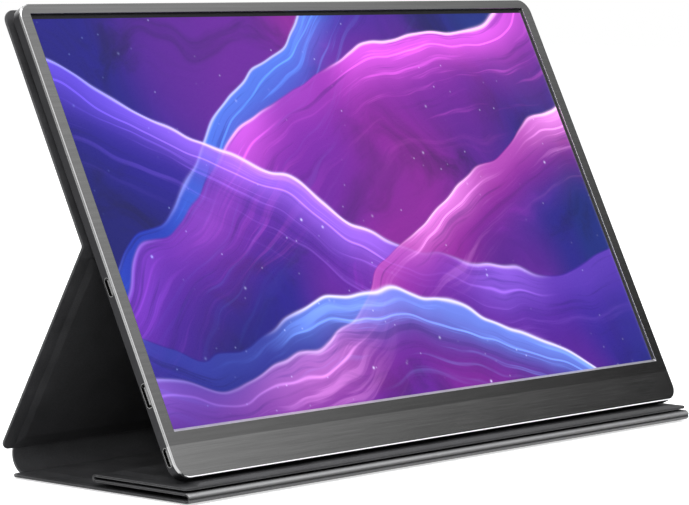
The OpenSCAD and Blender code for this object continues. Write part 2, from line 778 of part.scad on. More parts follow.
// Bare leather between the upper leaf and the leg, bent round the mid-back crease
module mid_fold_strip() color(leather) place(crease, 0) bar(cover_w) polygon(concat(
  [crease_hem * unit(tilt), [0, 0], crease_hem * unit(-leg_angle)],
  [crease_hem * unit(-leg_angle) + flange_t * unit(270 - leg_angle)],
  [for (i = [0:6]) flange_t * unit(270 - leg_angle - i * (180 - leg_angle - tilt) / 6)],
  [crease_hem * unit(tilt) + flange_t * unit(tilt + 90)]
));

// Leg, the lower half of the folio's back
leg_y = [spine_trim, leg_len - crease_hem];
leg_board_t = stiffener_t - leg_relief;

module leg_skin() color(leather) in_leg()
  leaf_sheet(leg_y[0], leg_y[1], foot_r, small_r, 0, skin_t);

module leg_stiffener() color(board_grey) in_leg()
  leaf_board(leg_y[0], leg_y[1], fold_hem + bevel, bevel, leg_board_t);

module leg_lining() color(inner) in_leg()
  leaf_lining(leg_y[0], leg_y[1], foot_r, small_r, [fold_hem, 0], [bevel, bevel], leg_board_t);

// Soft strip between the leg and the base, bulged to the rear
module spine_strip() {
  trim = spine_trim / 2 / spine_r * 180 / PI;
  reach = 2 * spine_r;
  start = spine_mid - spine_half + trim;
  end = spine_mid + spine_half - trim;
  color(leather) place(spine_centre, 0) bar(spine_w) intersection() {
    difference() {
      circle(r = spine_r, $fn = 96);
      circle(r = spine_r - flange_t, $fn = 96);
    }
    polygon([
      [0, 0], reach * [cos(start), sin(start)],
      reach * [cos(spine_mid), sin(spine_mid)], reach * [cos(end), sin(end)]
    ]);
  }
}

// Base leaf, which lies on the table
base_y = [fold_trim, base_len - spine_trim];

module base_skin() color(leather) in_base()
  leaf_sheet(base_y[0], base_y[1], small_r, foot_r, 0, skin_t);

module base_stiffener() color(board_grey) in_base()
  leaf_board(base_y[0], base_y[1], fold_hem + bevel, fold_hem + bevel, stiffener_t);

module base_lining() color(inner) in_base()
  leaf_lining(base_y[0], base_y[1], small_r, foot_r, [fold_hem, fold_hem], [bevel, bevel],
    stiffener_t);

// Half a round strip of leather along a fold, open towards the rear or the front
module fold_strip(p, r_out, side) {
  place(p, 0) bar(cover_w) {
    intersection() {
      difference() {
        circle(r = r_out);
        circle(r = r_out - flange_t);
      }
      translate([side > 0 ? 0 : -2 * r_out, -2 * r_out]) square([2 * r_out, 4 * r_out]);
    }
    for (s = [-1, 1]) translate([side > 0 ? -fold_trim : 0, s > 0 ? r_out - flange_t : -r_out])
      square([fold_trim, flange_t]);
  }
}

module front_fold_strip() color(leather) fold_strip(front_fold, leaf_t, -1);

module rear_fold_strip() color(leather) fold_strip(rear_fold, flap_gap / 2 + flange_t, 1);

// Front flap, folded back over the base with its lining down
flap_y = [fold_trim, flap_len - fold_trim];

module front_flap_skin() color(leather) in_front_flap()
  leaf_sheet(flap_y[0], flap_y[1], small_r, small_r, 0, skin_t);

module front_flap_stiffener() color(board_grey) in_front_flap()
  leaf_board(flap_y[0], flap_y[1], fold_hem + bevel, fold_hem + bevel, stiffener_t);

module front_flap_lining() color(inner) in_front_flap()
  leaf_lining(flap_y[0], flap_y[1], small_r, small_r, [fold_hem, fold_hem], [bevel, bevel],
    stiffener_t);

// Rear flap, folded forward again with its lining up; the monitor stands on it
rear_flap_y = [0, rear_flap_len - fold_trim];
tip_r = 3;

module rear_flap_skin() color(leather) in_rear_flap()
  leaf_sheet(rear_flap_y[0], rear_flap_y[1], tip_r, small_r, 0, skin_t);

module rear_flap_stiffener() color(board_grey) in_rear_flap()
  leaf_board(rear_flap_y[0], rear_flap_y[1], tip_hem + tip_bevel, fold_hem + bevel,
    stiffener_t);

module rear_flap_lining() color(inner) in_rear_flap()
  leaf_lining(rear_flap_y[0], rear_flap_y[1], tip_r, small_r, [tip_hem, fold_hem],
    [tip_bevel, bevel], stiffener_t);

front_bezel();
rear_housing();
panel_tape();
lcd_cell();
optical_films();
light_guide();
reflector_sheet();
led_strip();
panel_tray();
driver_films();
driver_board();
panel_ribbon();
main_board();
main_chips();
heat_spreader();
usb_port_upper();
usb_port_lower();
video_port();
audio_socket();
button_board();
button_switches();
rocker_bracket();
speaker_left();
speaker_right();
grip_plate();
board_screws();
case_screws();
power_button();
menu_rocker();
upper_skin();
upper_stiffener();
upper_lining();
cover_magnets();
mid_fold_strip();
leg_skin();
leg_stiffener();
leg_lining();
spine_strip();
base_skin();
base_stiffener();
base_lining();
front_fold_strip();
front_flap_skin();
front_flap_stiffener();
front_flap_lining();
rear_fold_strip();
rear_flap_skin();
rear_flap_stiffener();
rear_flap_lining();
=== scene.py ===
import bpy
import bmesh
import json
import math
from mathutils import Matrix, Vector


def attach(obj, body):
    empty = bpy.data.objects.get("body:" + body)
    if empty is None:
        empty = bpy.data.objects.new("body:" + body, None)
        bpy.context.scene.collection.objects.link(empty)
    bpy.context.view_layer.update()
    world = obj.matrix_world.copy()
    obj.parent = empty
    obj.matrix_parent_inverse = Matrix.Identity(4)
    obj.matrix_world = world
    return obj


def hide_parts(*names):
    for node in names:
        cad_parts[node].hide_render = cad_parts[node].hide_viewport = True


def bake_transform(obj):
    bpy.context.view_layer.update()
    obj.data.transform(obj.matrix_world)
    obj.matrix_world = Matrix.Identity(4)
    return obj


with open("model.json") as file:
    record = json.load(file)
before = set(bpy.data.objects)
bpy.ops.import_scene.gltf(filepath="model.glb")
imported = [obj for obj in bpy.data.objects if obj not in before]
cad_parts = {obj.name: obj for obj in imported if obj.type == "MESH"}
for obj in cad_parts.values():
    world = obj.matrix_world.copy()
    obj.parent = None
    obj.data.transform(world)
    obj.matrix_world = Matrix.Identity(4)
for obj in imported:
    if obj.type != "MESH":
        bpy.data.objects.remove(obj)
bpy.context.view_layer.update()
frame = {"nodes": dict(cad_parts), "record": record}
nodes = frame["nodes"]

# Sizes in mm, as in the part's source: the screen and the case
SCREEN_W, SCREEN_H = 344.2, 193.6
BORDER, BORDER_TOP = 1.2, 2.0
BEZEL_SIDE, BEZEL_TOP, CHIN = 6.4, 4.8, 21.0
CASE_T, EDGE_T, CORNER_R = 7.6, 5.0, 7.5
CHAMFER, FRAME_T = 0.7, 1.2
WINDOW_W = SCREEN_W + 2 * BORDER
WINDOW_H = SCREEN_H + BORDER + BORDER_TOP
CASE_W = WINDOW_W + 2 * BEZEL_SIDE
CASE_H = CHIN + WINDOW_H + BEZEL_TOP

# The cover's leather and boards
SKIN, BOARD, LINING = 0.7, 1.1, 0.5
LEAF = SKIN + BOARD + LINING
FLANGE = SKIN + LINING
HEM, BEVEL, FOLD_HEM, CREASE_HEM = 7.3, 4.2, 2.0, 5.3
TIP_HEM, TIP_BEVEL = 0.8, 2.0
COVER_R, FOOT_R, TIP_R = 6.0, 4.5, 3.0
OVERHANG, LEG_RELIEF, SPINE_TRIM, SPINE_INSET = 0.5, 0.3, 0.85, 8.0
COVER_W = CASE_W + 2 * OVERHANG
SPINE_W = COVER_W - 2 * SPINE_INSET

# The cover's shape in the side view
TILT = 63.3
CREASE_UP, UPPER_LEN, LEG_LEN = 111.2, 112.6, 107.7
SPINE_RISE, SPINE_LEAN, SPINE_BULGE = 11.17, 6.1, 2.5
FLAP_LEN, FLAP_GAP = 55.0, 1.0
FOOT_SET, TIP_OVER, FOOT_GAP = 4.2, 0.8, 0.05


def unit(a):
    """Direction at an angle in degrees in the side view, where x runs away from the viewer and y up."""
    return Vector((math.cos(math.radians(a)), math.sin(math.radians(a))))


# Points of the side view in mm, with the table at height 0
UP, BACK = unit(TILT), Vector((math.sin(math.radians(TILT)), -math.cos(math.radians(TILT))))
CASE_FOOT = Vector((0, 3 * LEAF + FLAP_GAP + FOOT_GAP + EDGE_T * math.cos(math.radians(TILT))))
CREASE = CASE_FOOT + (CASE_T + LEAF) * BACK + CREASE_UP * UP
LEG_A = math.degrees(math.asin((CREASE.y - SPINE_RISE) / LEG_LEN))
LEG_FOOT = CREASE + LEG_LEN * unit(-LEG_A)
BASE_REAR = Vector((LEG_FOOT.x - SPINE_LEAN, 0))
FRONT_FOLD = Vector((-FOOT_SET, LEAF))
REAR_FOLD = Vector((FRONT_FOLD.x + FLAP_LEN, 2 * LEAF + FLAP_GAP / 2))
TIP_Y = FRONT_FOLD.x - TIP_OVER

# The spine's bow: chord, radius, direction of the chord and centre
CHORD = (LEG_FOOT - BASE_REAR).length
SPINE_R = (CHORD * CHORD / 4 + SPINE_BULGE * SPINE_BULGE) / (2 * SPINE_BULGE)
SPINE_DIR = (LEG_FOOT - BASE_REAR) / CHORD
SPINE_C = (LEG_FOOT + BASE_REAR) / 2 + (SPINE_R - SPINE_BULGE) * Vector((-SPINE_DIR.y, SPINE_DIR.x))

# Middle of the whole object, which is the row frame's origin
MID_Y = (FRONT_FOLD.x - LEAF + SPINE_C.x + SPINE_R) / 2


def at(x, y, z):
    """A point of the side view, in metres of the row frame."""
    return Vector((x, y - MID_Y, z)) / 1000


def leaf_matrix(p, a):
    """Leaf frame: X across, Y along the leaf, Z from its outer leather inwards."""
    c, s = math.cos(math.radians(a)), math.sin(math.radians(a))
    m = Matrix(((1, 0, 0), (0, c, -s), (0, s, c))).to_4x4()
    m.translation = Vector((0, p.x - MID_Y, p.y))
    return Matrix.Scale(0.001, 4) @ m


IN_UPPER = leaf_matrix(CREASE, TILT)
IN_LEG = leaf_matrix(LEG_FOOT, 180 - LEG_A)
IN_BASE = leaf_matrix(Vector((FRONT_FOLD.x, 0)), 0)
IN_FRONT = leaf_matrix(Vector((REAR_FOLD.x, 2 * LEAF)), 180)
IN_REAR = leaf_matrix(Vector((TIP_Y, 2 * LEAF + FLAP_GAP)), 0)
IN_CASE = leaf_matrix(CASE_FOOT, TILT) @ Matrix.Scale(-1, 4, (0, 0, 1))


# Mesh helpers
def new_object(name, verts, faces, matrix=None, smooth=30.0):
    """Object with outward normals, and with sharp edges where faces meet at more than smooth degrees."""
    mesh = bpy.data.meshes.new(name)
    mesh.from_pydata([tuple(matrix @ Vector(v)) if matrix else tuple(v) for v in verts], [], faces)
    bm = bmesh.new()
    bm.from_mesh(mesh)
    bmesh.ops.remove_doubles(bm, verts=bm.verts, dist=1e-7)
    bmesh.ops.recalc_face_normals(bm, faces=bm.faces)
    bm.to_mesh(mesh)
    bm.free()
    obj = bpy.data.objects.new(name, mesh)
    bpy.context.scene.collection.objects.link(obj)
    mesh.shade_smooth()
    mesh.set_sharp_from_angle(angle=math.radians(smooth))
    return obj


def ring(half_w, y0, y1, r0, r1, z, n=8):
    """Rounded outline, with corner radius r0 at its low end and r1 at its high end."""
    pts = []
    for cx, cy, r, a0 in (
        (half_w - r0, y0 + r0, r0, -90), (half_w - r1, y1 - r1, r1, 0),
        (-half_w + r1, y1 - r1, r1, 90), (-half_w + r0, y0 + r0, r0, 180),
    ):
        for i in range(n + 1):
            a = math.radians(a0 + 90 * i / n)
            pts.append((cx + r * math.cos(a), cy + r * math.sin(a), z))
    return pts


def loft(rings, caps=True):
    """Skin over a row of rings with equally many points, closed at both ends if it has caps."""
    n = len(rings[0])
    last = (len(rings) - 1) * n
    verts = [p for r in rings for p in r]
    faces = []
    for k in range(0, last, n):
        for i in range(n):
            j = (i + 1) % n
            faces.append((k + i, k + j, k + n + j, k + n + i))
    if caps:
        faces.append(tuple(reversed(range(n))))
        faces.append(tuple(last + i for i in range(n)))
    return verts, faces


def arc_points(c, r, a0, a1, n):
    """Points of an arc, each with its direction away from the centre."""
    return [(c + r * unit(a0 + (a1 - a0) * i / n), unit(a0 + (a1 - a0) * i / n)) for i in range(n + 1)]


def inward(pts):
    return [(p, -n) for p, n in pts]


# Leaves of the cover
# Every leather piece, with the name of its finish
made = []
LEATHER_SMOOTH = 50
SHARP_R, FIELD_EDGE = 0.02, 0.3

# Rounded edges of the outer leather and the lining, as inset and height of each ring
SKIN_EDGE = ((0.34, 0.0), (0.16, 0.04), (0.05, 0.13), (0.0, 0.27),
             (0.0, 0.5), (0.05, 0.6), (0.14, 0.66), (0.3, 0.69))
LINING_EDGE = ((0.3, 0.71), (0.14, 0.735), (0.04, 0.8), (0.0, 0.9),
               (0.0, 1.0), (0.04, 1.1), (0.13, 1.17), (0.26, FLANGE))

# Soft bends at the foot and the top of the lining's climb onto the board: how far inwards each ring lies
# from the bend's middle, and its height before it is scaled with BEND, BEND_RISE and the slope
BEND, BEND_RISE = 0.45, 2.2
FOOT_BEND = ((-BEND, 0.0), (-0.15, 0.03), (0.15, 0.13), (BEND, 0.35))
TOP_BEND = ((-BEND, -0.35), (-0.15, -0.13), (0.15, -0.03), (BEND, 0.0))


def edge_rings(edge, ends, radii, free):
    """Rings of a leaf's edge. free is 1 for an end that is a free edge, which is rounded, and else 0."""
    rings = []
    for inset, z in edge:
        rings.append(ring(COVER_W / 2 - inset, ends[0] + inset * free[0], ends[1] - inset * free[1],
                          max(radii[0] - inset, SHARP_R), max(radii[1] - inset, SHARP_R), z))
    return rings


def field_rings(ends, hems, bevels, rise):
    """Rings of the field inside the hems, which climbs over the board with softened edges."""
    slope = rise / BEVEL
    steps = [(0.0, d, dz * BEND * slope * BEND_RISE) for d, dz in FOOT_BEND]
    steps.append((0.5, 0.0, rise / 2))
    steps += [(1.0, d, rise + dz * BEND * slope * BEND_RISE) for d, dz in TOP_BEND]
    rings = []
    for share, inwards, height in steps:
        low, high = (hem + bevel * share + inwards * min(1.0, bevel / BEVEL)
                     for hem, bevel in zip(hems, bevels))
        corner = 0.7 + 0.6 * share
        rings.append(ring(COVER_W / 2 - (HEM + BEVEL * share + inwards), ends[0] + max(low, FIELD_EDGE),
                          ends[1] - max(high, FIELD_EDGE), corner, corner, FLANGE + height))
    return rings


def leaf(key, body, matrix, ends, radii, hems, bevels, free, rise):
    """Outer leather and lining of a stiff leaf, which ride its body."""
    skin_rings = edge_rings(SKIN_EDGE, ends, radii, free)
    lining_rings = edge_rings(LINING_EDGE, ends, radii, free) + field_rings(ends, hems, bevels, rise)
    for side, rings, node, slot in (("outer", skin_rings, "skin", "cover_leather"),
                                    ("inner", lining_rings, "lining", "cover_lining")):
        piece = new_object(key + "_" + side + "_leather", *loft(rings), matrix, LEATHER_SMOOTH)
        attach(piece, body)
        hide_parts(key + "_" + node)
        made.append((piece, slot))


# Each leaf's name, body and frame, and for its low and its high end: place, corner radius, width of the
# flat hem, width of the bevel and whether it is a free edge. The last value is how far the lining climbs
FOLD_R = 0.5
BASE_LEN = BASE_REAR.x - FRONT_FOLD.x
REAR_LEN = REAR_FOLD.x - TIP_Y
for leaf_values in (
    ("upper", "upper_leaf", IN_UPPER, (CREASE_HEM, UPPER_LEN), (FOLD_R, COVER_R),
     (0, HEM), (BEVEL, BEVEL), (0, 1), BOARD),
    ("leg", "leg", IN_LEG, (SPINE_TRIM, LEG_LEN - CREASE_HEM), (FOOT_R, FOLD_R),
     (FOLD_HEM, 0), (BEVEL, BEVEL), (1, 0), BOARD - LEG_RELIEF),
    ("base", "base", IN_BASE, (0.0, BASE_LEN - SPINE_TRIM), (FOLD_R, FOOT_R),
     (FOLD_HEM, FOLD_HEM), (BEVEL, BEVEL), (0, 1), BOARD),
    ("front_flap", "front_flap", IN_FRONT, (0.0, FLAP_LEN), (FOLD_R, FOLD_R),
     (FOLD_HEM, FOLD_HEM), (BEVEL, BEVEL), (0, 0), BOARD),
    ("rear_flap", "rear_flap", IN_REAR, (0.0, REAR_LEN), (TIP_R, FOLD_R),
     (TIP_HEM, FOLD_HEM), (TIP_BEVEL, BEVEL), (1, 0), BOARD),
):
    leaf(*leaf_values)


# Folds of the cover
# Rounded ends of a strip, as distance from its end and how much thinner each face is there
STRIP_END = ((0.0, 0.2), (0.12, 0.06), (0.3, 0.0))
PLY_GAP = 0.02


def no_groove(i):
    return 0.0


def strip_piece(name, line, half_w, thick_out, thick_in, groove):
    """Leather strip swept along X over its outer line in the side view, as (point, inward normal).

    groove gives how deep the outer face is pressed in at each point of the line."""
    sections = [(d - half_w, thin) for d, thin in STRIP_END]
    sections += [(half_w - d, thin) for d, thin in reversed(STRIP_END)]
    rings = []
    for x, thin in sections:
        outer = [p + n * (thick_out + thin + groove(i)) for i, (p, n) in enumerate(line)]
        inner = [p + n * (thick_in - thin) for p, n in line]
        rings.append([tuple(at(x, q.x, q.y)) for q in outer + inner[::-1]])
    return new_object(name, *loft(rings), None, LEATHER_SMOOTH)


def fold(key, line, half_w, node, groove=no_groove, finish="cover_leather"):
    """Outer leather and lining of a fold."""
    for side, thick_out, thick_in, dent, slot, look in (
        ("outer", 0.0, SKIN - PLY_GAP, groove, "cover_leather", finish),
        ("inner", SKIN + PLY_GAP, FLANGE, no_groove, "cover_lining", "cover_lining"),
    ):
        piece = strip_piece(key + "_" + side + "_leather", line, half_w, thick_out, thick_in, dent)
        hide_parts(node)
        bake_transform(piece)
        made.append((piece, look))


def mid_back_crease():
    """Crease between leg and upper leaf, rounded at its very edge."""
    bend_r, reach, along_leg = 1.6, 2.2, unit(-LEG_A)
    half_angle = math.radians((TILT + LEG_A) / 2)
    bend_c = CREASE + (UP + along_leg).normalized() * (bend_r / math.sin(half_angle))
    flat = (CREASE_HEM, 3.4, 1.8, bend_r / math.tan(half_angle) + 0.05)
    line = [(CREASE + along_leg * d, unit(270 - LEG_A)) for d in flat]
    line += arc_points(bend_c, bend_r, 270 - LEG_A, TILT + 90, 8)
    line += [(CREASE + UP * d, unit(TILT + 90)) for d in reversed(flat)]
    fold("mid_fold", line, COVER_W / 2,
         "mid_fold_strip")


def spine():
    """Soft spine in two strips: one over its top end by the leg, and one over all below that, down to the
    base."""
    top_share, end_gap = 9, 4
    mid_a = math.degrees(math.atan2(-SPINE_DIR.x, SPINE_DIR.y))
    half_a = math.degrees(math.asin(CHORD / 2 / SPINE_R))
    parting = mid_a + half_a - top_share
    parting_point = SPINE_C + SPINE_R * unit(parting)
    up_leg, on_base = unit(180 - LEG_A), Vector((-1, 0))
    line = [(LEG_FOOT + up_leg * d, unit(270 - LEG_A)) for d in (SPINE_TRIM, 0.35)]
    line += inward(arc_points(SPINE_C, SPINE_R, mid_a + half_a - end_gap, parting, 3))
    fold("spine_top", line, SPINE_W / 2,
         "spine_strip")
    line = inward(arc_points(SPINE_C, SPINE_R, parting, mid_a - half_a + end_gap, 20))
    line += [(BASE_REAR + on_base * d, Vector((0, 1))) for d in (0.35, SPINE_TRIM)]
    fold("spine_low", line, SPINE_W / 2,
         "spine_strip")


def flap_folds():
    """Front fold, which turns the flap back over the base, and rear fold, which turns it forward again."""
    steps, depth, spread = 36, 0.5, 2.8

    def groove(i):
        """Pressed in along the middle of the fold, between the two leaves' ends."""
        return depth * math.exp(-((i - steps / 2) / spread) ** 2)

    # the front fold's outer leather carries a painted highlight and painted shade in bands
    fold("front_fold", inward(arc_points(FRONT_FOLD, LEAF, 270, 90, steps)), COVER_W / 2,
         "front_fold_strip", groove, "fold_leather")
    fold("rear_fold", arc_points(REAR_FOLD, FLAP_GAP / 2, -90, 90, 10), COVER_W / 2,
         "rear_fold_strip")


mid_back_crease()
spine()
flap_folds()

# Front frame of the monitor: inset, width and height of the cut facet that runs round its front, and the
# angle from which its edges are sharp, so that the facet and the window's small roll stay crisp
FACET_IN, FACET_W, FACET_DROP = 0.1, 0.42, 0.18
FRAME_SMOOTH = 9


def front_frame():
    def out(inset, z):
        return ring(CASE_W / 2 - inset, inset, CASE_H - inset, CORNER_R - inset, CORNER_R - inset, z, n=14)

    def win(grow, z, sill=0.0):
        r = 0.35 + grow
        return ring(WINDOW_W / 2 + grow, CHIN - grow + sill, CHIN + WINDOW_H + grow, r, r, z, n=14)

    # from the back edge up the side, over the facet and the face, and down the window to its slanted sill
    rings = [
        out(0.05, FRAME_T), out(0, FRAME_T - 0.06), out(0, CHAMFER), out(0.03, FACET_DROP + 0.14),
        out(FACET_IN, FACET_DROP), out(FACET_IN + FACET_W, 0), win(0.16, 0), win(0.05, 0.03, 0.04),
        win(0.0, 0.14, 0.14), win(0.0, FRAME_T - 0.15, BORDER), win(0.0, FRAME_T, BORDER),
    ]
    verts, faces = loft(rings, caps=False)
    n = len(rings[0])
    last = (len(rings) - 1) * n
    faces += [(last + i, last + (i + 1) % n, (i + 1) % n, i) for i in range(n)]
    return new_object("front_frame", verts, faces, IN_CASE, FRAME_SMOOTH)


frame_piece = front_frame()
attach(frame_piece, "monitor")
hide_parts("front_bezel")


# Node helpers for the materials
class Val:
    """A number in a node tree, with arithmetic."""

    def __init__(self, nt, socket):
        self.nt, self.s = nt, socket

    def math(self, op, *args):
        node = self.nt.nodes.new("ShaderNodeMath")
        node.operation = op
        for i, a in enumerate((self,) + args):
            if isinstance(a, Val):
                self.nt.links.new(a.s, node.inputs[i])
            else:
                node.inputs[i].default_value = a
        return Val(self.nt, node.outputs[0])

    def __add__(self, o):
        return self.math("ADD", o)

    def __sub__(self, o):
        return self.math("SUBTRACT", o)

    def __mul__(self, o):
        return self.math("MULTIPLY", o)

    def bell(self, width):
        """Bell curve, 1 where the value is 0."""
        q = self * (1.0 / width)
        return (q * q * -1.0).math("EXPONENT")

    def power(self, e):
        return self.math("MAXIMUM", 0.0).math("POWER", e)

    def step(self, lo, hi, to_lo=0.0, to_hi=1.0):
        """Smooth step from to_lo at lo to to_hi at hi."""
        node = self.nt.nodes.new("ShaderNodeMapRange")
        node.interpolation_type = "SMOOTHSTEP"
        self.nt.links.new(self.s, node.inputs["Value"])
        for key, value in (("From Min", lo), ("From Max", hi), ("To Min", to_lo), ("To Max", to_hi)):
            node.inputs[key].default_value = value
        return Val(self.nt, node.outputs[0])

    def ramp(self, stops):
        """Colour that runs softly through stops, as (place, colour)."""
        node = self.nt.nodes.new("ShaderNodeValToRGB")
        node.color_ramp.interpolation = "EASE"
        points = node.color_ramp.elements
        while len(points) < len(stops):
            points.new(0.5)
        for point, (where, colour) in zip(points, stops):
            point.position = where
            point.color = (*colour, 1)
        self.nt.links.new(self.s, node.inputs[0])
        return Col(self.nt, node.outputs[0])


class Col:
    """A colour in a node tree, with mixing."""

    def __init__(self, nt, socket):
        self.nt, self.s = nt, socket

    def blend(self, kind, other, share):
        node = self.nt.nodes.new("ShaderNodeMix")
        node.data_type = "RGBA"
        node.blend_type = kind
        if isinstance(share, Val):
            self.nt.links.new(share.s, node.inputs[0])
        else:
            node.inputs[0].default_value = share
        self.nt.links.new(self.s, node.inputs[6])
        if isinstance(other, Col):
            self.nt.links.new(other.s, node.inputs[7])
        else:
            node.inputs[7].default_value = (*other, 1)
        return Col(self.nt, node.outputs[2])


def noise(nt, vec, scale, detail=2.0, rough=0.5):
    node = nt.nodes.new("ShaderNodeTexNoise")
    nt.links.new(vec, node.inputs["Vector"])
    node.inputs["Scale"].default_value = scale
    node.inputs["Detail"].default_value = detail
    node.inputs["Roughness"].default_value = rough
    return Val(nt, node.outputs["Fac"])


def cells(nt, vec, scale, distance="EUCLIDEAN"):
    """Cell pattern: how far each point is from its cell's middle, and a random number for each cell."""
    node = nt.nodes.new("ShaderNodeTexVoronoi")
    node.distance = distance
    node.inputs["Scale"].default_value = scale
    nt.links.new(vec, node.inputs["Vector"])
    pick = nt.nodes.new("ShaderNodeSeparateColor")
    nt.links.new(node.outputs["Color"], pick.inputs[0])
    return Val(nt, node.outputs["Distance"]), Val(nt, pick.outputs[0])


def vector(nt, x, y, z=0.0):
    node = nt.nodes.new("ShaderNodeCombineXYZ")
    for i, a in enumerate((x, y, z)):
        if isinstance(a, Val):
            nt.links.new(a.s, node.inputs[i])
        else:
            node.inputs[i].default_value = a
    return node.outputs[0]


class Look:
    """A material around one Principled shader, with object coordinates in mm."""

    def __init__(self, name, metallic=0.0, specular=0.5):
        self.mat = bpy.data.materials.new(name)
        self.mat.use_nodes = True
        self.nt = self.mat.node_tree
        self.nt.nodes.clear()
        out = self.nt.nodes.new("ShaderNodeOutputMaterial")
        self.shader = self.nt.nodes.new("ShaderNodeBsdfPrincipled")
        self.nt.links.new(self.shader.outputs[0], out.inputs[0])
        self.shader.inputs["Metallic"].default_value = metallic
        self.shader.inputs["Specular IOR Level"].default_value = specular
        coords = self.nt.nodes.new("ShaderNodeTexCoord")
        scale = self.nt.nodes.new("ShaderNodeVectorMath")
        scale.operation = "SCALE"
        scale.inputs["Scale"].default_value = 1000
        self.nt.links.new(coords.outputs["Object"], scale.inputs[0])
        self.p = scale.outputs[0]

    def along(self, direction, origin=Vector()):
        """Distance in mm from origin along a direction."""
        node = self.nt.nodes.new("ShaderNodeVectorMath")
        node.operation = "DOT_PRODUCT"
        self.nt.links.new(self.p, node.inputs[0])
        node.inputs[1].default_value = tuple(direction)
        return Val(self.nt, node.outputs["Value"]) - direction.dot(origin)

    def case_axes(self):
        """X, height on the case and depth behind its front face, in mm."""
        origin = IN_CASE.translation * 1000
        return (self.along(Vector((1, 0, 0))), self.along(Vector((0, UP.x, UP.y)), origin),
                self.along(Vector((0, BACK.x, BACK.y)), origin))

    def paint(self, colour, roughness, height, deep, strength=1.0):
        """Links a colour, a roughness and a height pattern whose full range is deep mm."""
        self.nt.links.new(colour.s, self.shader.inputs["Base Color"])
        self.nt.links.new(roughness.s, self.shader.inputs["Roughness"])
        bump = self.nt.nodes.new("ShaderNodeBump")
        bump.inputs["Strength"].default_value = strength
        bump.inputs["Distance"].default_value = deep / 1000
        self.nt.links.new(height.s, bump.inputs["Height"])
        self.nt.links.new(bump.outputs[0], self.shader.inputs["Normal"])
        return self.mat


def shades(colour, spread):
    """Two stops of a ramp, a little darker and a little lighter than a colour."""
    dark = tuple(c * (1 - spread) for c in colour)
    light = tuple(min(c * (1 + spread), 1) for c in colour)
    return [(0.3, dark), (0.7, light)]


# Materials
# Height of the line that parts the chin into two bands, and the two greys of the front frame, where the
# lighter grey below the line is a painted reflection
CHIN_BAND = 15.0
FRAME_GREY = (0.275, 0.275, 0.275)
CHIN_REFLECTION_GREY = (0.42, 0.42, 0.42)

# Bands of the front fold, as height of the middle, half width and colour: a painted highlight on the roll
# over the upper leaf's end, painted light on the roll over the lower leaf's end, and painted shade in the
# groove between them
FOLD_PAINTED_LIGHT = (
    (2 * LEAF - 0.9, 0.7, (0.32, 0.32, 0.322)),
    (LEAF - 0.75, 0.5, (0.085, 0.085, 0.087)),
    (LEAF, 0.5, (0.004, 0.004, 0.004)),
)


def leather(name, colour, rough, grain, deep, specular, bands=()):
    """Synthetic leather: fine pebbles with creases between them, and a slightly uneven sheen.

    bands gives the heights of a fold's painted highlight, painted light and painted shade, as (middle, half
    width, colour)."""
    look = Look(name, specular=specular)
    nt = look.nt
    drift = noise(nt, look.p, 0.045, 3.0, 0.6)
    pebble, chance = cells(nt, look.p, 1 / grain)
    crease = noise(nt, look.p, 0.6 / grain, 2.0)
    fine = noise(nt, look.p, 3.0 / grain, 1.0)
    height = pebble * -0.7 + crease * 0.6 + fine * 0.2
    tint = drift * 0.6 + chance * 0.2 + pebble * -0.15 + 0.15
    gloss = drift.step(0.3, 0.7, rough - 0.05, rough + 0.06) + pebble * 0.08
    tone = tint.ramp(shades(colour, 0.28))
    # painted highlight, painted light and painted shade of a fold, laid over the leather's colour
    if bands:
        z = look.along(Vector((0, 0, 1)))
        for middle, half, painted_light_colour in bands:
            tone = tone.blend("MIX", painted_light_colour, (z - middle).bell(half))
    return look.paint(tone, gloss, height, deep)


def brushed(name, colour, rough, pitch, deep):
    """Metal with fine lines that run along X."""
    look = Look(name, metallic=1.0)
    nt = look.nt
    direction = Vector((1, 0, 0))
    side = direction.orthogonal().normalized()
    other = direction.cross(side)
    run, a, b = look.along(direction), look.along(side), look.along(other)
    lines = noise(nt, vector(nt, run * 0.03, a * (1 / pitch), b * (1 / pitch)), 1.0, 3.0, 0.7)
    broad = noise(nt, vector(nt, run * 0.012, a * (0.16 / pitch), b * (0.16 / pitch)), 1.0, 2.0)
    mark = noise(nt, look.p, 0.03, 3.0)
    tint = lines * 0.55 + broad * 0.45
    gloss = lines.step(0.25, 0.75, rough - 0.07, rough + 0.07) + (mark - 0.5) * 0.1
    return look.paint(tint.ramp(shades(colour, 0.1)), gloss, lines, deep)


def frame_look(name):
    """Anodised front frame: brushed along its length, with a painted reflection that makes the chin's lower
    part lighter.
    """
    look = Look(name, metallic=1.0)
    nt = look.nt
    x, up, depth = look.case_axes()
    lines = noise(nt, vector(nt, x * 0.035, up * 3.2, depth * 3.2), 1.0, 3.0, 0.7)
    broad = noise(nt, vector(nt, x * 0.012, up * 0.55, depth * 0.55), 1.0, 2.0)
    mark = noise(nt, look.p, 0.02, 3.0)
    # painted reflection: the chin below CHIN_BAND takes the lighter grey
    painted_reflection_band = up.step(CHIN_BAND - 0.12, CHIN_BAND + 0.12, 1.0, 0.0)
    tint = lines * 0.6 + broad * 0.4
    colour = tint.ramp(shades(FRAME_GREY, 0.13)).blend("MIX", tint.ramp(shades(CHIN_REFLECTION_GREY, 0.13)), painted_reflection_band)
    gloss = lines.step(0.25, 0.75, 0.11, 0.19) + (mark - 0.5) * 0.05
    return look.paint(colour, gloss, lines, 0.004, 0.5)


def polished(name, colour, rough):
    """Bright cut metal with faint machining lines."""
    look = Look(name, metallic=1.0)
    x, up, depth = look.case_axes()
    lines = noise(look.nt, vector(look.nt, x * 0.2, up * 6.0, depth * 9.0), 1.0, 2.0)
    mark = noise(look.nt, look.p, 0.15, 3.0)
    gloss = lines.step(0.2, 0.8, rough - 0.04, rough + 0.06)
    return look.paint(mark.ramp(shades(colour, 0.05)), gloss, lines, 0.004, 0.5)


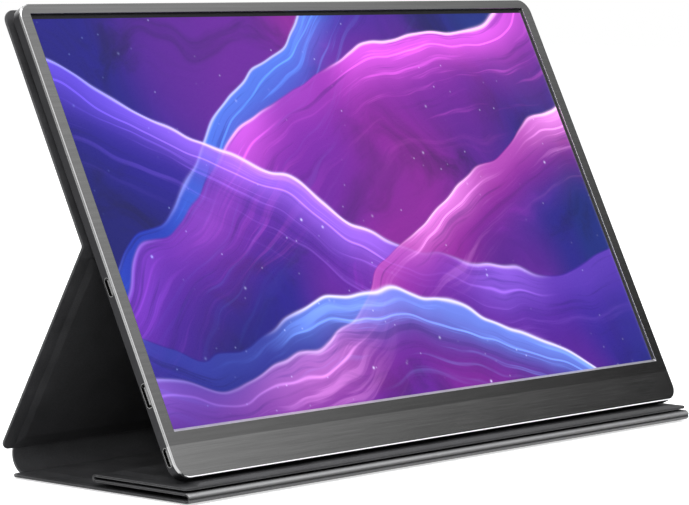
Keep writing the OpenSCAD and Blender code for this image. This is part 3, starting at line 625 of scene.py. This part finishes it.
def blasted(name, colour, rough, grain, deep, metallic=1.0, specular=0.5, spread=0.12):
    """Even fine-grained surface, of blasted metal or moulded plastic."""
    look = Look(name, metallic, specular)
    nt = look.nt
    fine = noise(nt, look.p, 1 / grain, 2.0, 0.6)
    drift = noise(nt, look.p, 0.06, 3.0, 0.55)
    tint = fine * 0.35 + drift * 0.65
    gloss = fine.step(0.3, 0.7, rough - 0.05, rough + 0.05) + (drift - 0.5) * 0.12
    return look.paint(tint.ramp(shades(colour, spread)), gloss, fine, deep, 0.7)


def striped(name, colour, line, pitch, rough):
    """Film with fine parallel conductors."""
    look = Look(name, specular=0.4)
    nt = look.nt
    x = look.along(Vector((1, 0, 0)))
    drift = noise(nt, look.p, 0.1, 2.0)
    track = ((x * (1 / pitch)).math("FRACT") - 0.5).math("ABSOLUTE").step(0.18, 0.24, 1.0, 0.0)
    base = drift.ramp(shades(colour, 0.12)).blend("MIX", line, track)
    return look.paint(base, drift.step(0.3, 0.7, rough - 0.05, rough + 0.05), track, 0.03)


def board(name, mask, track_colour, hole_colour):
    """Circuit board: solder mask over rows of tracks, with small plated holes."""
    look = Look(name, specular=0.4)
    nt = look.nt
    x, up, depth = look.case_axes()
    sheet = vector(nt, x, up, depth)
    ring_distance, tone = cells(nt, sheet, 0.16, "MANHATTAN")
    tracks = ((ring_distance * 9.0).math("FRACT") - 0.5).math("ABSOLUTE").step(0.24, 0.3, 1.0, 0.0)
    hole_distance, chosen = cells(nt, sheet, 0.42)
    holes = hole_distance.step(0.1, 0.14, 1.0, 0.0) * chosen.step(0.55, 0.6)
    drift = noise(nt, look.p, 0.1, 2.0)
    base = drift.ramp(shades(mask, 0.15)).blend("MIX", track_colour, tracks * tone.step(0.2, 0.8, 0.3, 0.9))
    base = base.blend("MIX", hole_colour, holes)
    return look.paint(base, drift.step(0.3, 0.7, 0.32, 0.45), tracks + holes, 0.04)


# Colours of the sky in the screen's picture, from its left to its right, and of its clouds
SKY = (
    (0.0, (0.006, 0.008, 0.22)), (0.22, (0.022, 0.008, 0.34)), (0.42, (0.19, 0.012, 0.42)),
    (0.58, (0.34, 0.015, 0.40)), (0.76, (0.13, 0.010, 0.34)), (0.9, (0.02, 0.016, 0.30)),
    (1.0, (0.008, 0.03, 0.26)),
)
CLOUDS = ((0.3, (0.16, 0.12, 0.3)), (0.52, (0.7, 0.6, 0.8)), (0.72, (1.0, 1.0, 1.0)))

# Sheets of light in the picture: slope, height of the wave, its pace, place, depth of the glow below
# the crest, colour of the glow and colour of the crest
SHEETS = (
    (1.15, 0.20, 1.5, 0.52, 0.46, (0.01, 0.02, 0.50), (0.12, 0.42, 1.00)),
    (0.80, 0.24, 2.1, 0.22, 0.40, (0.30, 0.01, 0.45), (1.00, 0.16, 0.90)),
    (-0.50, 0.26, 2.4, 0.02, 0.34, (0.06, 0.01, 0.42), (0.50, 0.22, 1.00)),
    (0.62, 0.20, 2.9, -0.14, 0.32, (0.42, 0.01, 0.42), (1.00, 0.42, 0.95)),
    (-0.28, 0.22, 3.3, -0.34, 0.30, (0.02, 0.01, 0.30), (0.20, 0.40, 1.00)),
)


def picture(nt, u, v):
    """Picture on the screen: folded sheets of light over a night sky.

    u and v run from its middle in units of its height."""
    warp = noise(nt, vector(nt, u, v), 1.5, 1.0) - 0.5
    fine = noise(nt, vector(nt, u + 5.3, v + 2.1), 2.8, 2.0) - 0.5

    # sky with dark and glowing clouds
    across = (u + warp * 0.9 + v * 0.35) * 0.56 + 0.5
    cloud = noise(nt, vector(nt, u + warp * 1.1, v * 1.5 + fine), 2.2, 5.0, 0.6)
    image = across.ramp(SKY).blend("MULTIPLY", cloud.ramp(CLOUDS), 0.9)
    glowing = (cloud - 0.62).step(0.0, 0.16) * (u + 0.05).bell(0.5) * 0.6
    image = image.blend("ADD", (0.55, 0.03, 0.5), glowing)

    # each sheet: glow, bright upper part, light and dark streaks, white crest and a line below it
    for i, (slope, wave, pace, place, depth, glow, crest) in enumerate(SHEETS):
        bend = (u * pace + warp * 2.4 + 1.9 * i).math("SINE") * (wave * 0.5)
        edge = v - (u * (slope * 0.55)) - bend - place + fine * 0.16
        under = edge.step(-depth, 0.0) * edge.step(-0.004, 0.004, 1.0, 0.0)
        grain = noise(nt, vector(nt, edge * 11.0 + 3.1 * i, u * 0.5 + v * 0.25), 2.6, 4.0, 0.62)
        reach = noise(nt, vector(nt, u * 1.2 + 9.1 * i, 0.4 * i), 1.7, 0.0).step(0.36, 0.6)
        streaks = under * (grain - 0.53).step(0.0, 0.14) * (reach * 0.34 + 0.1)
        shadows = under * (grain - 0.45).step(-0.12, 0.0, 1.0, 0.0) * 0.6
        image = image.blend("MIX", glow, under.power(1.2) * 0.8)
        image = image.blend("ADD", crest, under.power(6.0) * (reach * 0.55 + 0.12))
        image = image.blend("ADD", crest, streaks)
        image = image.blend("MULTIPLY", (0.3, 0.25, 0.5), shadows)
        image = image.blend("ADD", (1.0, 0.82, 1.0), (edge + 0.004).bell(0.0045) * reach * 0.8)
        image = image.blend("ADD", crest, (edge + 0.05 + warp * 0.08).bell(0.003) * reach * 0.7)

    # stars in two sizes, and a darker left side
    for scale, size, power in ((15.0, 0.05, 0.9), (34.0, 0.07, 0.5)):
        distance, chosen = cells(nt, vector(nt, u + 0.37, v + 0.11), scale)
        image = image.blend("ADD", (0.75, 0.8, 1.0), distance.bell(size) * chosen.step(0.6, 0.95) * power)
    return image.blend("MULTIPLY", (0.30, 0.45, 0.85), u.step(-0.85, -0.3, 0.85, 0.0))


def screen_look(name):
    """Lit panel: the picture inside a black border, behind a satin polariser."""
    look = Look(name, specular=0.2)
    look.shader.inputs["Emission Strength"].default_value = 1.0
    nt = look.nt
    x, up, depth = look.case_axes()
    bottom, top, side, soft = CHIN + BORDER, CHIN + BORDER + SCREEN_H, SCREEN_W / 2, 0.1
    lit = x.math("ABSOLUTE").step(side - soft, side, 1.0, 0.0)
    lit = lit * up.step(bottom, bottom + soft) * up.step(top - soft, top, 1.0, 0.0)
    lit = lit * depth.step(1.45, 1.5, 1.0, 0.0)
    image = picture(nt, x * (1 / SCREEN_H), (up - (bottom + SCREEN_H / 2)) * (1 / SCREEN_H))
    shown = image.blend("MIX", (0, 0, 0), lit.step(0.0, 1.0, 1.0, 0.0))
    nt.links.new(shown.s, look.shader.inputs["Emission Color"])
    haze = noise(nt, look.p, 4.0, 2.0)
    face = haze.ramp([(0.3, (0.008, 0.008, 0.01)), (0.7, (0.014, 0.014, 0.017))])
    return look.paint(face, haze.step(0.3, 0.7, 0.27, 0.36), haze, 0.004, 0.4)


# Finishes: what makes them, their names, which are the record's material slots, and the maker's values.
# fold_leather is the leather of the front fold, with the slot of the other leather
FINISHES = (
    (frame_look, "frame_metal"),
    (blasted, "case_metal", (0.034, 0.034, 0.036), 0.42, 0.25, 0.012),
    (blasted, "tape_black", (0.02, 0.02, 0.02), 0.8, 0.3, 0.02, 0.0, 0.3),
    (screen_look, "screen"),
    (blasted, "film_white", (0.86, 0.86, 0.88), 0.45, 0.8, 0.005, 0.0, 0.5, 0.03),
    (blasted, "clear_plate", (0.8, 0.86, 0.87), 0.15, 1.2, 0.01, 0.0, 0.5, 0.03),
    (blasted, "lamp_yellow", (0.9, 0.8, 0.35), 0.35, 0.6, 0.02, 0.0),
    (brushed, "tray_steel", (0.55, 0.56, 0.57), 0.35, 0.4, 0.01),
    (striped, "flex_amber", (0.6, 0.34, 0.07), (0.35, 0.17, 0.05), 0.4, 0.35),
    (board, "board_green", (0.02, 0.16, 0.07), (0.05, 0.27, 0.12), (0.55, 0.45, 0.2)),
    (striped, "ribbon_white", (0.8, 0.8, 0.76), (0.55, 0.55, 0.53), 1.0, 0.5),
    (blasted, "chip_black", (0.03, 0.03, 0.032), 0.55, 0.2, 0.02, 0.0),
    (brushed, "spreader_metal", (0.7, 0.71, 0.72), 0.3, 0.5, 0.008),
    (brushed, "port_steel", (0.20, 0.20, 0.20), 0.28, 0.3, 0.004),
    (blasted, "socket_black", (0.025, 0.025, 0.025), 0.5, 0.25, 0.02, 0.0),
    (blasted, "screw_steel", (0.5, 0.5, 0.5), 0.3, 0.15, 0.01),
    (blasted, "screw_black", (0.05, 0.05, 0.05), 0.4, 0.15, 0.01),
    (blasted, "button_metal", (0.06, 0.06, 0.062), 0.35, 0.2, 0.006),
    (blasted, "magnet_nickel", (0.6, 0.6, 0.6), 0.18, 0.8, 0.004),
    (leather, "cover_leather", (0.038, 0.038, 0.040), 0.36, 0.45, 0.04, 0.42),
    # outer leather of the front fold, with its painted highlight and painted shade in bands
    (leather, "fold_leather", (0.038, 0.038, 0.040), 0.32, 0.45, 0.03, 0.55, FOLD_PAINTED_LIGHT),
    (blasted, "fibre_board", (0.4, 0.38, 0.34), 0.85, 0.6, 0.05, 0.0, 0.2, 0.2),
    (leather, "cover_lining", (0.042, 0.042, 0.044), 0.34, 0.35, 0.025, 0.38),
)


def polish_frame():
    """Bright finish for the frame's cut facet, except along the top, where the duller frame metal is
    painted shade that holds back the facet's highlight, and for the sill of its window, whose faint lilac
    tint is a painted reflection of the screen's light.
    """
    frame_piece.data.materials.append(polished("polished_edge", (0.82, 0.82, 0.83), 0.14))
    # the sill's faint lilac tint is a painted reflection of the screen's light
    frame_piece.data.materials.append(polished("polished_sill", (0.62, 0.61, 0.64), 0.34))
    to_case = IN_CASE.inverted()
    for face in frame_piece.data.polygons:
        c = to_case @ face.center
        in_window = abs(c.x) < WINDOW_W / 2 + 0.5 and CHIN - 0.5 < c.y < CHIN + WINDOW_H + 0.5
        # along the top the facet keeps the frame metal, as painted shade instead of its highlight
        top_edge = c.y > CASE_H - CORNER_R / 3
        if not in_window and not top_edge and 0.02 < c.z < FACET_DROP:
            face.material_index = 1
        elif in_window and c.y < CHIN + BORDER + 0.1 and 0.01 < c.z < FRAME_T - 0.05:
            face.material_index = 2


def dress():
    """Gives every piece and every carried-over node its finish."""
    looks = {name: make(name, *values) for make, name, *values in FINISHES}
    for piece, look in made + [(frame_piece, "frame_metal")]:
        piece.data.materials.append(looks[look])
    for part in frame["record"]["subparts"]:
        for slot in nodes[part["node"]].material_slots:
            slot.material = looks[part["material_slot"]]
    polish_frame()


dress()

# Camera at the photograph's angle: azimuth, elevation and roll in degrees, focal length in pixels of the
# photograph, its width in pixels, and the camera's place in mm from the front's lower left corner
CAMERA_AZ, CAMERA_EL, CAMERA_ROLL = 48.628, 5.074, 0.361
FOCAL, PHOTO_W, SENSOR_W = 3303.46, 689, 36.0
CAMERA_X, CAMERA_Y, CAMERA_Z = -990.8, -964.6, 219.2


def set_camera():
    az, el, roll = math.radians(CAMERA_AZ), math.radians(CAMERA_EL), math.radians(CAMERA_ROLL)
    ahead = Vector((math.sin(az) * math.cos(el), math.cos(az) * math.cos(el), -math.sin(el)))
    level = ahead.cross(Vector((0, 0, 1))).normalized()
    down = ahead.cross(level)
    right = math.cos(roll) * level - math.sin(roll) * down
    below = math.sin(roll) * level + math.cos(roll) * down
    m = Matrix((right, -below, -ahead)).transposed().to_4x4()
    m.translation = Vector((CAMERA_X - CASE_W / 2, CAMERA_Y - MID_Y, CAMERA_Z + CASE_FOOT.y)) / 1000
    data = bpy.data.cameras.new("photo_camera")
    data.sensor_fit = "HORIZONTAL"
    data.sensor_width = SENSOR_W
    data.lens = FOCAL / PHOTO_W * SENSOR_W
    camera = bpy.data.objects.new("photo_camera", data)
    bpy.context.scene.collection.objects.link(camera)
    camera.matrix_world = m
    bpy.context.scene.camera = camera


# Floor, world and lamps
# The floor's half side and height in m, its grey, and its own light, which brings it near white for the
# camera and for gloss
FLOOR_HALF, FLOOR_Z, FLOOR_GREY, FLOOR_GLOW = 6, -0.0008, 0.8, 0.64

# Light of the world on the object
SKY_TINT, SKY_LEVEL = (0.96, 0.97, 1.0), 0.6

# A dark card low on the right, which only gloss shows, so that the frame darkens towards its lower right:
# the direction square to its upper edge, the edge's place along that, how far it fades to each side, and
# the card's brightness
CARD_UP = (-0.489, 0.084, 0.869)
CARD_EDGE, CARD_SOFT, CARD_LEVEL = -0.004, 0.105, 0.02

# Lamps: name, place, target, size and power
LAMPS = (
    ("key_left", (-1.5, -0.7, 1.2), (0, 0, 0.1), (1.2, 1.0), 26),
    ("top_soft", (0.1, -0.2, 1.8), (0, 0, 0.05), (1.8, 1.4), 14),
    ("rear_rim", (0.3, 1.6, 1.0), (0, 0, 0.1), (1.6, 0.8), 10),
)


def mixed(nt, share, first, second):
    """Mix of two shaders, all second where share is 1."""
    node = nt.nodes.new("ShaderNodeMixShader")
    for i, socket in enumerate((share, first, second)):
        nt.links.new(socket, node.inputs[i])
    return node.outputs[0]


def set_floor():
    """Pale floor that keeps the object's shadow."""
    corners = [(x * FLOOR_HALF, y * FLOOR_HALF, 0) for x, y in ((-1, -1), (1, -1), (1, 1), (-1, 1))]
    floor = new_object("studio_floor", corners, [(0, 1, 2, 3)], Matrix.Translation((0, 0, FLOOR_Z)))
    mat = bpy.data.materials.new("studio_floor")
    mat.use_nodes = True
    nt = mat.node_tree
    nt.nodes.clear()
    plain = nt.nodes.new("ShaderNodeBsdfDiffuse")
    plain.inputs["Color"].default_value = (FLOOR_GREY, FLOOR_GREY, FLOOR_GREY, 1)
    glow = nt.nodes.new("ShaderNodeEmission")
    glow.inputs["Strength"].default_value = FLOOR_GLOW
    bright = nt.nodes.new("ShaderNodeAddShader")
    nt.links.new(plain.outputs[0], bright.inputs[0])
    nt.links.new(glow.outputs[0], bright.inputs[1])
    path = nt.nodes.new("ShaderNodeLightPath")
    seen = Val(nt, path.outputs["Is Camera Ray"])
    for kind in ("Is Glossy Ray", "Is Transmission Ray"):
        seen = seen.math("MAXIMUM", Val(nt, path.outputs[kind]))
    out = nt.nodes.new("ShaderNodeOutputMaterial")
    nt.links.new(mixed(nt, seen.s, plain.outputs[0], bright.outputs[0]), out.inputs[0])
    floor.data.materials.append(mat)


def set_world():
    """Soft light on the object, white with the dark card for gloss, and plain white for the camera."""
    world = bpy.data.worlds.new("studio")
    bpy.context.scene.world = world
    world.use_nodes = True
    nt = world.node_tree
    nt.nodes.clear()
    soft, mirrored, white = (nt.nodes.new("ShaderNodeBackground") for _ in range(3))
    soft.inputs["Color"].default_value = (*SKY_TINT, 1)
    soft.inputs["Strength"].default_value = SKY_LEVEL
    white.inputs["Color"].default_value = (1, 1, 1, 1)
    coords = nt.nodes.new("ShaderNodeTexCoord")
    height = nt.nodes.new("ShaderNodeVectorMath")
    height.operation = "DOT_PRODUCT"
    height.inputs[1].default_value = CARD_UP
    nt.links.new(coords.outputs["Generated"], height.inputs[0])
    above = Val(nt, height.outputs["Value"])
    shade = above.step(CARD_EDGE - CARD_SOFT, CARD_EDGE + CARD_SOFT, CARD_LEVEL, 1.0)
    nt.links.new(shade.s, mirrored.inputs["Strength"])
    path = nt.nodes.new("ShaderNodeLightPath")
    lit = mixed(nt, path.outputs["Is Glossy Ray"], soft.outputs[0], mirrored.outputs[0])
    out = nt.nodes.new("ShaderNodeOutputWorld")
    nt.links.new(mixed(nt, path.outputs["Is Camera Ray"], lit, white.outputs[0]), out.inputs[0])


def set_lamps():
    for name, place, target, size, power in LAMPS:
        data = bpy.data.lights.new(name, "AREA")
        data.shape = "RECTANGLE"
        data.size, data.size_y = size
        data.energy = power
        lamp = bpy.data.objects.new(name, data)
        bpy.context.scene.collection.objects.link(lamp)
        lamp.location = place
        lamp.rotation_euler = (Vector(target) - Vector(place)).to_track_quat("-Z", "Y").to_euler()


set_camera()
set_floor()
set_world()
set_lamps()
bpy.context.scene.view_settings.view_transform = "Standard"
